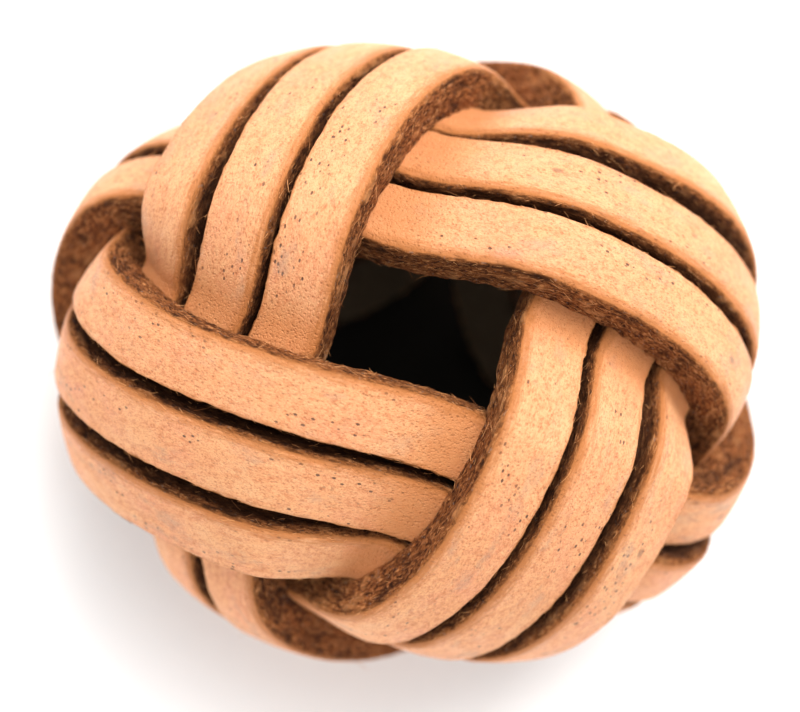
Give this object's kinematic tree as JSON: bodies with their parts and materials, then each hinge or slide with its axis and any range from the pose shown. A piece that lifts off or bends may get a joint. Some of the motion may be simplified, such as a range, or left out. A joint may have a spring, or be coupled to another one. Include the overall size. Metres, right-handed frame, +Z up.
{
  "type": "knotted leather ball",
  "caption": "Hollow ball plaited as a Turk's head knot from flat leather laces lying side by side, with a square opening at the top and at the bottom.",
  "frame": {"origin": "where the axis through the two square openings meets the surface that the ball rests on", "axes": "+Z up through the openings, +X along the longest width"},
  "size_m": [0.0659, 0.057, 0.0465],
  "materials": {
    "lace_pole_side": "vegetable-tanned, smooth side out, matte",
    "lace_middle": "vegetable-tanned, smooth side out, matte",
    "lace_rim_side": "vegetable-tanned, smooth side out, matte"
  },
  "bodies": {
    "root": {"lace_pole_side": "lace_pole_side", "lace_middle": "lace_middle", "lace_rim_side": "lace_rim_side"}
  },
  "joints": []
}
